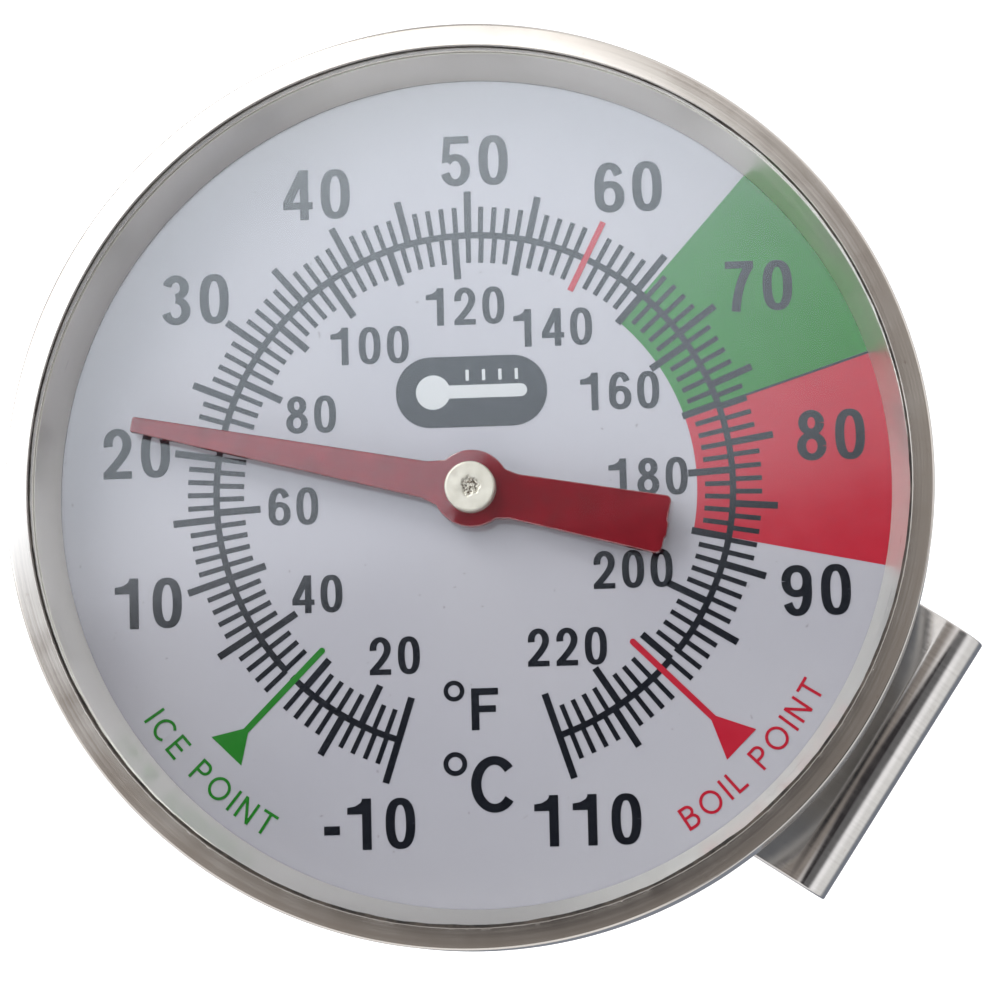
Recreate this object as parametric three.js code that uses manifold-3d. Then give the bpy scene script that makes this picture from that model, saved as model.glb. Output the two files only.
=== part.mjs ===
// Dial thermometer with a bimetal stem and a pan clip.
// Frame: millimetres, the stem runs up the Z axis from its flat tip at Z = 0 to the head,
// the dial faces +Z, and +Y points to the top of the dial (50 degrees C).
import * as THREE from 'three';
import { mergeVertices } from 'three/addons/utils/BufferGeometryUtils.js';
import Module from 'manifold-3d';

const wasm = await Module();
wasm.setup();

// ---- Driving dimensions ----
const stemRadius = 2.0;
const stemBore = 1.7;
const stemBelowHead = 130;
const bezelRadius = 25;
const headDepth = 9.9;
const stripWidth = 17;
const stripThickness = 0.5;
const clipAngle = THREE.MathUtils.degToRad(-33.7);
const reading = 21;

// ---- The head's stack, as heights above the back of the case ----
const sheet = 0.55;
const dialTop = 5.1;
const dialThickness = 0.45;
const lensBottom = 8.05;
const lensTop = 9.15;
const lipUnderside = 9.45;
const pointerBottom = 6.15;
const pointerTop = 6.7;
const hubTop = 7.7;

// ---- Radii in the head ----
const caseRadius = 24.45;
const seatRadius = 22;
const lensRadius = 23.85;
const lipRadius = 23.8;
const caseHole = 3.5;

// ---- Neck and movement ----
const nutAcrossFlats = 8;
const nutBottom = -4.6;
const nutTop = -1;
const neckRadius = 3.2;
const neckTop = 3;
const tubeTop = 3.2;
const shaftRadius = 0.35;
const runningGap = 0.15;
const gap = 0.1;
const coilRadius = 1.2;
const coilBottom = 9;
const coilPitch = 1.5;
const coilTurns = 24;
const collarBottom = 46;

// ---- Dial scale ----
const topOfDial = 50;
const degreesPerCelsius = 2.7;

// ---- Roundness of turned parts ----
const roundLarge = 72;
const roundSmall = 24;

const steel = new THREE.MeshStandardMaterial({ color: 0xb9b6b0, roughness: 0.28, metalness: 1 });
const brushedSteel = new THREE.MeshStandardMaterial({ color: 0xa9a6a0, roughness: 0.4, metalness: 1 });
const springSteel = new THREE.MeshStandardMaterial({ color: 0x9c9c9c, roughness: 0.35, metalness: 1 });
const brass = new THREE.MeshStandardMaterial({ color: 0xc2a25a, roughness: 0.35, metalness: 1 });
const silver = new THREE.MeshStandardMaterial({ color: 0xdcdacb, roughness: 0.4, metalness: 0.8 });
const bimetal = new THREE.MeshStandardMaterial({ color: 0x8f8577, roughness: 0.45, metalness: 1 });
const dialWhite = new THREE.MeshStandardMaterial({ color: 0xd9dbe0, roughness: 0.5, metalness: 0 });
const redPlastic = new THREE.MeshStandardMaterial({ color: 0xa8202c, roughness: 0.45, metalness: 0 });
const rubber = new THREE.MeshStandardMaterial({ color: 0x2b2926, roughness: 0.8, metalness: 0 });
const glass = new THREE.MeshStandardMaterial({
  color: 0xeef3f4, roughness: 0.05, metalness: 0, transparent: true, opacity: 0.25,
});

// ---- Geometry helpers ----

// Turns a closed profile of [radius, height] points about Z. The profile runs outwards
// along the bottom, up the outside and back along the top.
function turned(profile, segments = roundSmall, lift = 0) {
  const points = profile.map(([r, z]) => new THREE.Vector2(r, z + lift));
  const startsOnAxis = profile[0][0] === 0;
  if (!startsOnAxis) points.push(points[0].clone());
  return new THREE.LatheGeometry(points, segments).rotateX(Math.PI / 2);
}

// The same, with heights measured from the back of the case.
function turnedInHead(profile, segments = roundLarge) {
  return turned(profile, segments, stemBelowHead);
}

// Points on an arc about [r, z], from one angle to another in degrees.
function arc(r, z, radius, from, to, steps = 4) {
  return Array.from({ length: steps + 1 }, (_, i) => {
    const angle = THREE.MathUtils.degToRad(from + (to - from) * i / steps);
    return [r + radius * Math.cos(angle), z + radius * Math.sin(angle)];
  });
}

function tube(inner, outer, bottom, top, segments = roundSmall) {
  return turned([[inner, bottom], [outer, bottom], [outer, top], [inner, top]], segments);
}

function solidOf(geometry) {
  const bare = geometry.clone();
  bare.deleteAttribute('normal');
  bare.deleteAttribute('uv');
  const merged = mergeVertices(bare, 1e-5);
  return new wasm.Manifold(new wasm.Mesh({
    numProp: 3,
    vertProperties: new Float32Array(merged.attributes.position.array),
    triVerts: new Uint32Array(merged.index.array),
  }));
}

function geometryOf(solid) {
  const mesh = solid.getMesh();
  const geometry = new THREE.BufferGeometry();
  geometry.setAttribute('position', new THREE.BufferAttribute(mesh.vertProperties, 3));
  geometry.setIndex(new THREE.BufferAttribute(mesh.triVerts, 1));
  geometry.computeVertexNormals();
  return geometry;
}

// The outline of a bent strip: a centreline through the corners, each rounded to its
// own bend radius, with half the thickness set off to either side.
function bentStripShape(corners, thickness) {
  const line = [];
  corners.forEach(({ at, bend = 0 }, i) => {
    const here = new THREE.Vector2(...at);
    const isEnd = i === 0 || i === corners.length - 1;
    const before = new THREE.Vector2(...corners[Math.max(i - 1, 0)].at);
    const after = new THREE.Vector2(...corners[Math.min(i + 1, corners.length - 1)].at);
    if (isEnd) {
      const along = after.clone().sub(before).normalize();
      line.push({ point: here, along });
      return;
    }
    const into = here.clone().sub(before).normalize();
    const outOf = after.clone().sub(here).normalize();
    const turn = Math.atan2(into.cross(outOf), into.dot(outOf));
    const start = here.clone().addScaledVector(into, -bend * Math.tan(Math.abs(turn) / 2));
    const side = Math.sign(turn);
    const centre = start.clone().add(new THREE.Vector2(-into.y, into.x).multiplyScalar(bend * side));
    const steps = Math.max(2, Math.round(Math.abs(turn) / 0.22));
    for (let k = 0; k <= steps; k += 1) {
      const part = turn * k / steps;
      line.push({
        point: start.clone().rotateAround(centre, part),
        along: into.clone().rotateAround(new THREE.Vector2(), part),
      });
    }
  });
  const offset = (distance) => line.map(({ point, along }) => (
    point.clone().add(new THREE.Vector2(-along.y, along.x).multiplyScalar(distance))
  ));
  return new THREE.Shape([...offset(-thickness / 2), ...offset(thickness / 2).reverse()]);
}

// ---- Head ----

// A deep-drawn cup: a flat back, a step that seats the dial, and a straight wall.
function caseCup() {
  const corner = 1.5;
  const stepUnder = dialTop - dialThickness - sheet - 0.05;
  const wallTop = lensTop - 0.15;
  return turnedInHead([
    [caseHole, 0],
    [7, 0],
    ...arc(seatRadius - corner, corner, corner, -90, 0),
    ...arc(seatRadius + 0.8, stepUnder - 0.8, 0.8, 180, 90, 3),
    ...arc(caseRadius - 0.6, stepUnder + 0.6, 0.6, -90, 0, 3),
    [caseRadius, wallTop],
    [caseRadius - sheet + 0.05, wallTop],
    [caseRadius - sheet + 0.05, stepUnder + sheet],
    [seatRadius - sheet, stepUnder + sheet],
    ...arc(seatRadius - corner, corner, corner - sheet, 0, -90, 3),
    [caseHole, sheet],
  ]);
}

// A ring pressed over the cup, with its rolled lip turned in over the lens.
function bezelRing() {
  const skirtInside = caseRadius + gap;
  const roll = 0.95;
  return turnedInHead([
    [skirtInside, dialTop],
    [bezelRadius, dialTop],
    ...arc(bezelRadius - roll, headDepth - roll, roll, 0, 90, 5),
    ...arc(lipRadius + 0.15, headDepth - 0.15, 0.15, 90, 180, 2),
    [lipRadius, lipUnderside],
    [skirtInside - 0.2, lipUnderside],
    [skirtInside, lipUnderside - 0.2],
  ]);
}

// The lens, with ground edges. The ring of points inside its top edge marks the part
// of the face that the gasket leaves bare.
function lens() {
  const ground = 0.2;
  const bareRadius = 23.3;
  return turnedInHead([
    [0, lensBottom],
    [lensRadius - ground, lensBottom],
    [lensRadius, lensBottom + ground],
    [lensRadius, lensTop - ground],
    [lensRadius - ground, lensTop],
    [bareRadius, lensTop],
    [0, lensTop],
  ]);
}

function lensGasket() {
  const inside = lipRadius - 0.25;
  const bottom = lensTop + 0.05;
  const top = lipUnderside - 0.05;
  const outside = caseRadius - 0.3;
  return turnedInHead([[inside, bottom], [outside, bottom], [outside, top], [inside, top]]);
}

// The bright inner wall between dial and lens: a narrow foot on the dial's edge, then
// a wall that leans outwards up to the lens.
function spacerRing() {
  const bottom = dialTop + 0.05;
  const footTop = bottom + 0.35;
  const top = lensBottom - 0.05;
  return turnedInHead([
    [22.7, bottom],
    [lensRadius, bottom],
    [lensRadius, top],
    [23.7, top],
    [23.15, footTop],
    [22.8, footTop],
    [22.7, footTop - 0.1],
  ]);
}

function dialPlate() {
  const bottom = dialTop - dialThickness;
  return turnedInHead([[1, bottom], [23.6, bottom], [23.6, dialTop], [1, dialTop]]);
}

// ---- Stem and neck ----

function stemTube() {
  return tube(stemBore, stemRadius, 1, stemBelowHead + tubeTop);
}

// The welded end of the stem: a flat cap with a rounded edge and a spigot in the tube.
function stemTipPlug() {
  const round = 0.4;
  return turned([
    [0, 0],
    ...arc(stemRadius - round, round, round, -90, 0, 3),
    [stemRadius, 0.95],
    [stemBore - gap, 0.95],
    [stemBore - gap, 4.2],
    [0, 4.2],
  ]);
}

// The post that holds the coil's lower end.
function coilAnchor() {
  return turned([
    [0, 4.4],
    [stemBore - gap, 4.4],
    [stemBore - gap, 8],
    [0.95, 8],
    [0.95, 11],
    [0, 11],
  ]);
}

// A flat strip wound into a helix. Each vertex of a straight bar is carried to its
// place on the winding: along the bar becomes the turn, across it the radius.
function bimetalCoil() {
  const width = 0.8;
  const thickness = 0.22;
  const stepsPerTurn = 10;
  const bar = new THREE.BoxGeometry(1, width, thickness, coilTurns * stepsPerTurn, 1, 1);
  const position = bar.attributes.position;
  for (let i = 0; i < position.count; i += 1) {
    const along = position.getX(i) + 0.5;
    const angle = along * coilTurns * 2 * Math.PI;
    const radius = coilRadius + position.getZ(i);
    const height = coilBottom + along * coilTurns * coilPitch + position.getY(i);
    position.setXYZ(i, radius * Math.cos(angle), radius * Math.sin(angle), height);
  }
  return bar;
}

function guideBush(bottom, top) {
  return tube(shaftRadius + runningGap, stemBore - gap, bottom, top);
}

// The bearing at the top of the tube, with a flange that rests on the tube's end.
function upperGuideBush() {
  const bore = shaftRadius + runningGap;
  const flangeBottom = tubeTop + 0.05;
  return turnedInHead([
    [bore, 1],
    [stemBore - gap, 1],
    [stemBore - gap, flangeBottom],
    [stemRadius, flangeBottom],
    [stemRadius, flangeBottom + 0.6],
    [bore, flangeBottom + 0.6],
  ], roundSmall);
}

// A hexagon with turned chamfers and a round neck that passes through the case.
function calibrationNut() {
  const acrossCorners = nutAcrossFlats / Math.cos(Math.PI / 6);
  const hexShape = new THREE.Shape();
  for (let i = 0; i < 6; i += 1) {
    const angle = i * Math.PI / 3;
    const corner = [acrossCorners / 2 * Math.cos(angle), acrossCorners / 2 * Math.sin(angle)];
    if (i === 0) hexShape.moveTo(...corner);
    else hexShape.lineTo(...corner);
  }
  const hex = new THREE.ExtrudeGeometry(hexShape, { depth: nutTop - nutBottom, bevelEnabled: false });
  hex.translate(0, 0, stemBelowHead + nutBottom);
  const chamfer = 0.35;
  const face = nutAcrossFlats / 2;
  const corner = acrossCorners / 2 + chamfer;
  const chamfers = turnedInHead([
    [0, nutBottom - 1],
    [face - 1.2, nutBottom - 1],
    [face, nutBottom],
    [corner, nutBottom + chamfer * 2],
    [corner, nutTop - chamfer],
    [face + 0.3, nutTop],
    [face - 1.2, nutTop + 1],
    [0, nutTop + 1],
  ], roundSmall * 2);
  const neck = turnedInHead([
    [0, nutTop - 1],
    [neckRadius, nutTop - 1],
    [neckRadius, neckTop - 0.2],
    [neckRadius - 0.2, neckTop],
    [0, neckTop],
  ], roundSmall);
  const bore = turnedInHead([
    [0, nutBottom - 2],
    [stemRadius + gap, nutBottom - 2],
    [stemRadius + gap, neckTop + 1],
    [0, neckTop + 1],
  ], roundSmall);
  const body = solidOf(hex).intersect(solidOf(chamfers)).add(solidOf(neck));
  return geometryOf(body.subtract(solidOf(bore)));
}

// A round rubber ring between the nut's shoulder and the case.
function neckSeal() {
  const section = 0.4;
  return turnedInHead(arc(neckRadius + 0.15 + section, -0.5, section, 0, 315, 7), roundSmall);
}

// A thin washer pressed into three waves, so that it springs between case and retainer.
function frictionWasher() {
  const waves = 3;
  const rise = 0.22;
  const middle = 1.15;
  const half = 0.12;
  const washer = turnedInHead([
    [neckRadius + 0.15, middle - half],
    [5.4, middle - half],
    [5.4, middle + half],
    [neckRadius + 0.15, middle + half],
  ], roundSmall * 2);
  const position = washer.attributes.position;
  for (let i = 0; i < position.count; i += 1) {
    const angle = Math.atan2(position.getY(i), position.getX(i));
    position.setZ(i, position.getZ(i) + rise * Math.cos(waves * angle));
  }
  return washer;
}

// The ring pressed onto the neck that keeps the washer and the case on the stem.
function retainingRing() {
  const inside = neckRadius + gap;
  return turnedInHead([
    [inside, 1.6],
    [5, 1.6],
    [5.2, 1.8],
    [5.2, 2.3],
    [inside, 2.3],
  ], roundSmall);
}

// ---- Movement ----

// The cup on the shaft's lower end that the coil's upper end turns.
function coilCollar() {
  return turned([
    [0, collarBottom - 3],
    [0.95, collarBottom - 3],
    [0.95, collarBottom],
    [1.3, collarBottom],
    [1.3, collarBottom + 2.5],
    [shaftRadius + gap, collarBottom + 2.5],
    [shaftRadius + gap, collarBottom + 0.7],
    [0, collarBottom + 0.7],
  ]);
}

function pointerShaft() {
  const bottom = collarBottom + 0.8;
  const top = stemBelowHead + pointerTop + 0.2;
  return turned([[0, bottom], [shaftRadius, bottom], [shaftRadius, top], [0, top]], 16);
}

// A round boss with a long tapering arm towards +X and a broad balancing tail.
function pointer() {
  const boss = 2.12;
  const reach = 18.8;
  const tail = 10.9;
  const armWidth = 2.1;
  const tipWidth = 0.87;
  const tailWidth = 2.45;
  const tailEndWidth = 3.25;
  const endRound = 0.3;
  const onBoss = (halfWidth) => Math.asin(halfWidth / boss);
  const outline = new THREE.Shape();
  outline.moveTo(reach, -tipWidth / 2);
  outline.lineTo(reach, tipWidth / 2);
  outline.absarc(0, 0, boss, onBoss(armWidth / 2), Math.PI - onBoss(tailWidth / 2), false);
  outline.lineTo(-tail + endRound, tailEndWidth / 2);
  outline.lineTo(-tail, tailEndWidth / 2 - endRound);
  outline.lineTo(-tail, -tailEndWidth / 2 + endRound);
  outline.lineTo(-tail + endRound, -tailEndWidth / 2);
  outline.absarc(0, 0, boss, Math.PI + onBoss(tailWidth / 2), 2 * Math.PI - onBoss(armWidth / 2), false);
  const hole = new THREE.Path();
  hole.absarc(0, 0, 1.15, 0, 2 * Math.PI, true);
  outline.holes.push(hole);
  const depth = pointerTop - pointerBottom;
  return new THREE.ExtrudeGeometry(outline, { depth, bevelEnabled: false, curveSegments: 12 });
}

// A disc over the boss with a spigot through it, closed at the top over the shaft.
function pointerHub() {
  const bore = shaftRadius + gap;
  const discBottom = pointerTop + 0.05;
  const discRadius = 1.37;
  const edge = 0.12;
  return turnedInHead([
    [bore, pointerBottom - 0.1],
    [0.85, pointerBottom - 0.1],
    [0.85, discBottom],
    [discRadius, discBottom],
    [discRadius, hubTop - edge],
    [discRadius - edge, hubTop],
    [0, hubTop],
    [0, pointerTop + 0.3],
    [bore, pointerTop + 0.3],
  ], roundSmall);
}

// ---- Pan clip ----

// One bent strip, drawn in the plane of its bends with X outwards from the stem. It runs
// from the lower guide plate up behind the stem, out under the case, over the outer roll,
// back underneath and down as the gripping tongue.
function panClip() {
  const plateHeight = stemBelowHead + nutBottom - 0.4 - stripThickness / 2;
  const guideHeight = plateHeight - 12.35;
  const rollRadius = 1.95;
  const rollEdge = 27.35;
  const tongue = 6.6;
  const shape = bentStripShape([
    { at: [4.1, guideHeight] },
    { at: [-6.2, guideHeight], bend: 1.3 },
    { at: [-6.2, plateHeight], bend: 1.3 },
    { at: [16.5, plateHeight], bend: 8 },
    { at: [21, plateHeight - 0.7], bend: 5 },
    { at: [rollEdge, plateHeight], bend: rollRadius },
    { at: [rollEdge, plateHeight - 4.15], bend: rollRadius },
    { at: [tongue, plateHeight - 5.3], bend: 2 },
    { at: [tongue, plateHeight - 25], bend: 6 },
    { at: [3.4, plateHeight - 33], bend: 2.5 },
    { at: [6.4, plateHeight - 38.5] },
  ], stripThickness);
  const strip = new THREE.ExtrudeGeometry(shape, { depth: stripWidth, bevelEnabled: false });
  strip.translate(0, 0, -stripWidth / 2).rotateX(Math.PI / 2);
  const hole = turned([
    [0, guideHeight - 3],
    [stemRadius + 0.3, guideHeight - 3],
    [stemRadius + 0.3, plateHeight + 3],
    [0, plateHeight + 3],
  ], roundSmall);
  return geometryOf(solidOf(strip).subtract(solidOf(hole)));
}

// ---- The object ----

const thermometer = new THREE.Group();

function place(name, geometry, material, turn = 0) {
  const mesh = new THREE.Mesh(geometry, material);
  mesh.name = name;
  mesh.rotation.z = turn;
  thermometer.add(mesh);
  return mesh;
}

place('stem_tube', stemTube(), steel);
place('stem_tip_plug', stemTipPlug(), steel);
place('coil_anchor', coilAnchor(), brass);
place('bimetal_coil', bimetalCoil(), bimetal);
place('lower_guide_bush', guideBush(70, 72.5), brass);
place('upper_guide_bush', upperGuideBush(), brass);
place('calibration_nut', calibrationNut(), brushedSteel);
place('neck_seal', neckSeal(), rubber);
place('friction_washer', frictionWasher(), springSteel);
place('retaining_ring', retainingRing(), springSteel);

place('case_cup', caseCup(), brushedSteel);
place('dial_plate', dialPlate(), dialWhite);
place('spacer_ring', spacerRing(), steel);
place('lens', lens(), glass);
place('lens_gasket', lensGasket(), rubber);
place('bezel_ring', bezelRing(), steel);

place('coil_collar', coilCollar(), brass);
place('pointer_shaft', pointerShaft(), springSteel);
place('pointer_hub', pointerHub(), silver);
const readingAngle = 90 + (topOfDial - reading) * degreesPerCelsius;
const restPointer = place('pointer', pointer(), redPlastic, THREE.MathUtils.degToRad(readingAngle));
restPointer.position.z = stemBelowHead + pointerBottom;

place('pan_clip', panClip(), brushedSteel, clipAngle);

export default thermometer;
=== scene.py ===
"""The looks of a dial thermometer with a pan clip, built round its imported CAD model."""

import math

import bmesh
import bpy
from mathutils import Matrix, Vector, noise
from mathutils.geometry import delaunay_2d_cdt


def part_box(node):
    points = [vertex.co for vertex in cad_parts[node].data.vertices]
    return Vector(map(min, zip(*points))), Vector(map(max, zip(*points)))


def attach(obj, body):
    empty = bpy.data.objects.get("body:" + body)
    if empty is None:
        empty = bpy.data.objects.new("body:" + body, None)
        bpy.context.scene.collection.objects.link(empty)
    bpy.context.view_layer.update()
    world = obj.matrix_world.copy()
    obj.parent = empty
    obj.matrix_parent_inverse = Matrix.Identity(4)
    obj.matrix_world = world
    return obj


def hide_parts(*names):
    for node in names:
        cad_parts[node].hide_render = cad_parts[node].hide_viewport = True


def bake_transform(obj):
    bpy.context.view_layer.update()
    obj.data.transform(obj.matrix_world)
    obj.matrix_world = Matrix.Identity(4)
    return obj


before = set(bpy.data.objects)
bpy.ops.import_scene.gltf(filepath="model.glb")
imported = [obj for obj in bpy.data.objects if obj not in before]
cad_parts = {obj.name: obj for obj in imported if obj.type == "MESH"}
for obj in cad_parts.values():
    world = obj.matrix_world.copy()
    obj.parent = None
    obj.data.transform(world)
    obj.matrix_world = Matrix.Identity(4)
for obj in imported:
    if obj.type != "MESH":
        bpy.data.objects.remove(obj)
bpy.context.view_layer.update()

MM = 0.001
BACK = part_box("case_cup")[0].z


def heights(node):
    """Lowest and highest point of a CAD node, in mm above the back of the case."""
    low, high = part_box(node)
    return (low.z - BACK) / MM, (high.z - BACK) / MM


DIAL_TOP = heights("dial_plate")[1]
DIAL_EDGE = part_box("dial_plate")[1].x / MM
LENS_BOTTOM, LENS_TOP = heights("lens")
BEZEL_BOTTOM, HEAD_TOP = heights("bezel_ring")
BEZEL_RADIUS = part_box("bezel_ring")[1].x / MM
POINTER_BOTTOM, POINTER_TOP = heights("pointer")
HUB_TOP = heights("pointer_hub")[1]
STEM_TIP = heights("stem_tip_plug")[0]

# The dial's scale: 50 degrees C at twelve o'clock, 2.7 degrees of arc for each degree C.
TOP_OF_DIAL = 50
ARC_PER_C = 2.7
READING = 21.3


def dial_angle(celsius):
    return math.radians(90 + (TOP_OF_DIAL - celsius) * ARC_PER_C)


# ---- mesh helpers


def smooth(mesh, sharp):
    """Smooth shading, but for edges sharper than an angle in degrees."""
    mesh.shade_smooth()
    mesh.set_sharp_from_angle(angle=math.radians(sharp))


def object_from_bmesh(name, bm, sharp=35):
    bmesh.ops.recalc_face_normals(bm, faces=bm.faces)
    mesh = bpy.data.meshes.new(name)
    bm.to_mesh(mesh)
    bm.free()
    mesh.validate()
    smooth(mesh, sharp)
    piece = bpy.data.objects.new(name, mesh)
    bpy.context.scene.collection.objects.link(piece)
    return piece


def vertex_at(bm, radius, turn, height):
    """A vertex at a radius, an angle and a height above the back of the case, in mm."""
    x, y = radius * MM * math.cos(turn), radius * MM * math.sin(turn)
    return bm.verts.new((x, y, BACK + height * MM))


def skin(bm, loops, ends=False):
    """Quads between each loop of vertices and the next, and a face at both ends if asked for."""
    for a, b in zip(loops, loops[1:]):
        for k in range(len(a)):
            n = (k + 1) % len(a)
            bm.faces.new([a[k], a[n], b[n], b[k]])
    if ends:
        bm.faces.new(loops[0])
        bm.faces.new(loops[-1])


def full_turn(count):
    return [2 * math.pi * k / count for k in range(count)]


def arc(cx, cy, radius, start, end, steps):
    """Points on an arc about (cx, cy), with angles in degrees."""
    turns = [math.radians(start + (end - start) * i / steps) for i in range(steps + 1)]
    return [(cx + radius * math.cos(t), cy + radius * math.sin(t)) for t in turns]


def rounded(corners, steps=5, closed=True):
    """A polygon of (x, y) or (x, y, radius) corners, with those that have a radius rounded."""
    points = []
    count = len(corners)
    for i, corner in enumerate(corners):
        here = Vector(corner[:2])
        radius = corner[2] if len(corner) > 2 else 0
        ends_here = not closed and i in (0, count - 1)
        if radius <= 0 or ends_here:
            points.append(tuple(here))
            continue
        into = (here - Vector(corners[i - 1][:2])).normalized()
        out = (Vector(corners[(i + 1) % count][:2]) - here).normalized()
        turn = math.atan2(into.x * out.y - into.y * out.x, into.dot(out))
        side = math.copysign(1, turn)
        start = here - into * radius * math.tan(abs(turn) / 2)
        centre = start + Vector((-into.y, into.x)) * radius * side
        for k in range(steps + 1):
            spoke = start - centre
            spoke.rotate(Matrix.Rotation(turn * k / steps, 2))
            points.append(tuple(centre + spoke))
    return points


def rounded_box(half_x, half_y, radius, steps, cy=0.0):
    """A rectangle with rounded corners, its middle at (0, cy)."""
    corners = ((-1, -1), (1, -1), (1, 1), (-1, 1))
    return rounded([(sx * half_x, cy + sy * half_y, radius) for sx, sy in corners], steps)


def lathe(name, profile, segments=192, sharp=35, wobble=None):
    """Turns a closed profile of (radius, height) in mm about the axis of the head."""
    bm = bmesh.new()
    rings = []
    for radius, height in profile:
        if radius < 1e-6:
            rings.append([vertex_at(bm, 0, 0, height)])
            continue
        rings.append([
            vertex_at(bm, radius + (wobble(radius, turn) if wobble else 0), turn, height)
            for turn in full_turn(segments)
        ])
    solid = len(rings[0]) == 1 and len(rings[-1]) == 1
    pairs = list(zip(rings, rings[1:])) + ([] if solid else [(rings[-1], rings[0])])
    for a, b in pairs:
        for k in range(segments):
            n = (k + 1) % segments
            corners = [a[k % len(a)], a[n % len(a)], b[n % len(b)], b[k % len(b)]]
            face = list(dict.fromkeys(corners))
            if len(face) > 2:
                bm.faces.new(face)
    return object_from_bmesh(name, bm, sharp)


# ---- node helpers


STAIN_BROWN = (0.36, 0.27, 0.2)
GRIME_AND_SHADE_BROWN = (0.085, 0.068, 0.055)
# Enamel, ink and the pointer's plastic share one wet gloss, which mirrors the window.
GLOSS = {"Specular_IOR_Level": 1.0, "IOR": 1.65}


def opaque(value):
    """Adds the alpha that a colour's socket asks for, and leaves other values alone."""
    return (*value, 1) if isinstance(value, tuple) and len(value) == 3 else value


class Shader:
    """A node tree under construction: short calls that add nodes and link them."""

    def __init__(self, tree):
        self.tree = tree
        tree.nodes.clear()

    def add(self, kind, inputs=(), **settings):
        node = self.tree.nodes.new("ShaderNode" + kind)
        for key, value in settings.items():
            setattr(node, key, value)
        for key, value in dict(inputs).items():
            if isinstance(value, bpy.types.NodeSocket):
                self.tree.links.new(value, node.inputs[key])
            else:
                node.inputs[key].default_value = value
        return node

    def math(self, operation, a, b=0.0, clamp=False):
        return self.add("Math", {0: a, 1: b}, operation=operation, use_clamp=clamp).outputs[0]

    def noise(self, vector, scale=1.0, detail=2.0, roughness=0.5, w=None, distortion=0.0):
        inputs = {"Vector": vector, "Scale": scale, "Detail": detail, "Roughness": roughness,
                  "Distortion": distortion}
        if w is not None:
            inputs["W"] = w
        node = self.add("TexNoise", inputs, noise_dimensions="3D" if w is None else "4D")
        return node.outputs["Fac"]

    def xyz(self, x, y, z):
        return self.add("CombineXYZ", {0: x, 1: y, 2: z}).outputs[0]

    def times(self, a, b):
        return self.math("MULTIPLY", a, b)

    def from_axis(self, x, y):
        """The distance of x, y from the axis."""
        return self.math("SQRT", self.math("ADD", self.times(x, x), self.times(y, y)))

    def spread(self, value, low, high, to_low=0.0, to_high=1.0):
        ends = {"From Min": low, "From Max": high, "To Min": to_low, "To Max": to_high}
        return self.add("MapRange", {"Value": value, **ends}).outputs[0]

    def mix(self, factor, a, b, blend="MIX"):
        inputs = {0: factor, 6: opaque(a), 7: opaque(b)}
        node = self.add("Mix", inputs, data_type="RGBA", blend_type=blend, clamp_factor=True)
        return node.outputs[2]

    def bump(self, height, distance, strength):
        """A bump whose height runs from 0 to distance, in mm."""
        inputs = {"Height": height, "Distance": distance * MM, "Strength": strength}
        return self.add("Bump", inputs).outputs[0]

    def principled(self, **inputs):
        """The main surface shader. Keywords are its sockets' names, with _ for each space."""
        named = {key.replace("_", " "): opaque(value) for key, value in inputs.items()}
        return self.add("BsdfPrincipled", named).outputs[0]


class Material(Shader):
    """A material whose place is the object's own coordinates in mm, split into x, y and z."""

    def __init__(self, name):
        self.material = bpy.data.materials.new(name)
        self.material.use_nodes = True
        super().__init__(self.material.node_tree)
        metres = self.add("TexCoord").outputs["Object"]
        scaling = {0: metres, 1: (1000, 1000, 1000)}
        self.place = self.add("VectorMath", scaling, operation="MULTIPLY").outputs[0]
        self.x, self.y, self.z = self.add("SeparateXYZ", {0: self.place}).outputs

    def done(self, surface):
        self.add("OutputMaterial", {"Surface": surface})
        return self.material


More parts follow.
